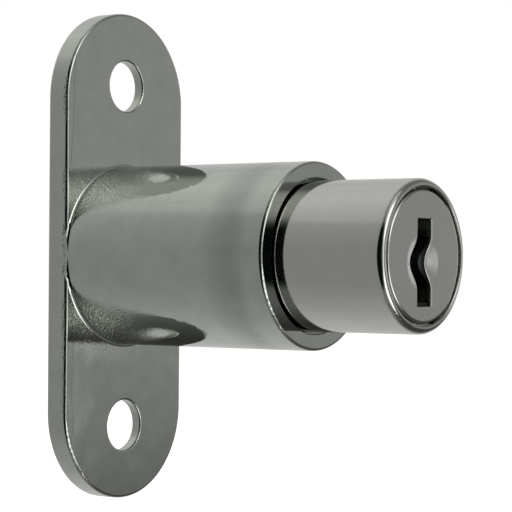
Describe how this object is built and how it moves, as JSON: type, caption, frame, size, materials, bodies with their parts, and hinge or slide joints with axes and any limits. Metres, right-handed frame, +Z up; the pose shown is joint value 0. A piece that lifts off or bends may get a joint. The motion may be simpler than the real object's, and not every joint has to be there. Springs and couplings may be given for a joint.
{
  "type": "sliding door lock",
  "caption": "Push-to-lock cylinder for a sliding door: round barrel on an oval screw plate, sprung plunger with a keyed core, and a bolt pin that comes out of the back.",
  "frame": {"origin": "where the lock's axis meets the plate's front face, which seats on the back of the door", "axes": "+Z up along the plate, +Y into the cabinet along the lock's axis, +X to the right for the user at -Y"},
  "size_m": [0.022, 0.0466, 0.06],
  "materials": {
    "plated_casting": "nickel-chromed zinc casting, polished, faintly wavy and pitted",
    "plated_plunger": "nickel-chromed, turned and polished",
    "cap_steel": "pressed stainless sheet, lightly polished",
    "core_zinc": "nickel-plated zinc casting, dull",
    "wafer_silver": "stamped nickel-silver strip",
    "spring_steel": "drawn spring wire",
    "lug_steel": "hardened and ground",
    "bolt_steel": "turned and nickel-plated",
    "zinc_steel": "bright zinc-plated",
    "black_steel": "phosphated black"
  },
  "bodies": {
    "lock_body": {"housing": "plated_casting", "rear_cap": "zinc_steel", "retaining_ring": "black_steel", "return_spring": "spring_steel"},
    "plunger": {"plunger": "plated_plunger", "bolt_pin": "bolt_steel", "lug_spring": "spring_steel"},
    "core": {"lock_core": "core_zinc", "core_cap": "cap_steel", "core_clip": "spring_steel", "wafer_spring_1": "spring_steel", "wafer_spring_2": "spring_steel", "wafer_spring_3": "spring_steel", "wafer_spring_4": "spring_steel", "wafer_spring_5": "spring_steel", "wafer_spring_6": "spring_steel"},
    "lug": {"locking_lug": "lug_steel"},
    "wafer_1": {"wafer_1": "wafer_silver"},
    "wafer_2": {"wafer_2": "wafer_silver"},
    "wafer_3": {"wafer_3": "wafer_silver"},
    "wafer_4": {"wafer_4": "wafer_silver"},
    "wafer_5": {"wafer_5": "wafer_silver"},
    "wafer_6": {"wafer_6": "wafer_silver"}
  },
  "joints": [
    {"name": "plunger_slide", "type": "slide", "parent": "lock_body", "child": "plunger", "axis": [0, 1, 0], "range_m": [0, 0.012], "stiffness_N_per_m": 450, "springref_m": -0.01, "deforming": ["return_spring"]},
    {"name": "core_turn", "type": "hinge", "parent": "plunger", "child": "core", "pos_m": [0, -0.0344, 0], "axis": [0, 1, 0], "range_deg": [0, 90]},
    {"name": "lug_slide", "type": "slide", "parent": "plunger", "child": "lug", "axis": [0, 0, -1], "range_m": [-0.00127, 0], "stiffness_N_per_m": 300, "springref_m": -0.005, "deforming": ["lug_spring"]},
    {"name": "wafer_1_slide", "type": "slide", "parent": "core", "child": "wafer_1", "axis": [0, 0, 1], "range_m": [-0.0007, 0], "stiffness_N_per_m": 60, "springref_m": -0.0025, "deforming": ["wafer_spring_1"]},
    {"name": "wafer_2_slide", "type": "slide", "parent": "core", "child": "wafer_2", "axis": [0, 0, -1], "range_m": [-0.0007, 0], "stiffness_N_per_m": 60, "springref_m": -0.0025, "deforming": ["wafer_spring_2"]},
    {"name": "wafer_3_slide", "type": "slide", "parent": "core", "child": "wafer_3", "axis": [0, 0, 1], "range_m": [-0.0007, 0], "stiffness_N_per_m": 60, "springref_m": -0.0025, "deforming": ["wafer_spring_3"]},
    {"name": "wafer_4_slide", "type": "slide", "parent": "core", "child": "wafer_4", "axis": [0, 0, -1], "range_m": [-0.0007, 0], "stiffness_N_per_m": 60, "springref_m": -0.0025, "deforming": ["wafer_spring_4"]},
    {"name": "wafer_5_slide", "type": "slide", "parent": "core", "child": "wafer_5", "axis": [0, 0, 1], "range_m": [-0.0007, 0], "stiffness_N_per_m": 60, "springref_m": -0.0025, "deforming": ["wafer_spring_5"]},
    {"name": "wafer_6_slide", "type": "slide", "parent": "core", "child": "wafer_6", "axis": [0, 0, -1], "range_m": [-0.0007, 0], "stiffness_N_per_m": 60, "springref_m": -0.0025, "deforming": ["wafer_spring_6"]}
  ]
}
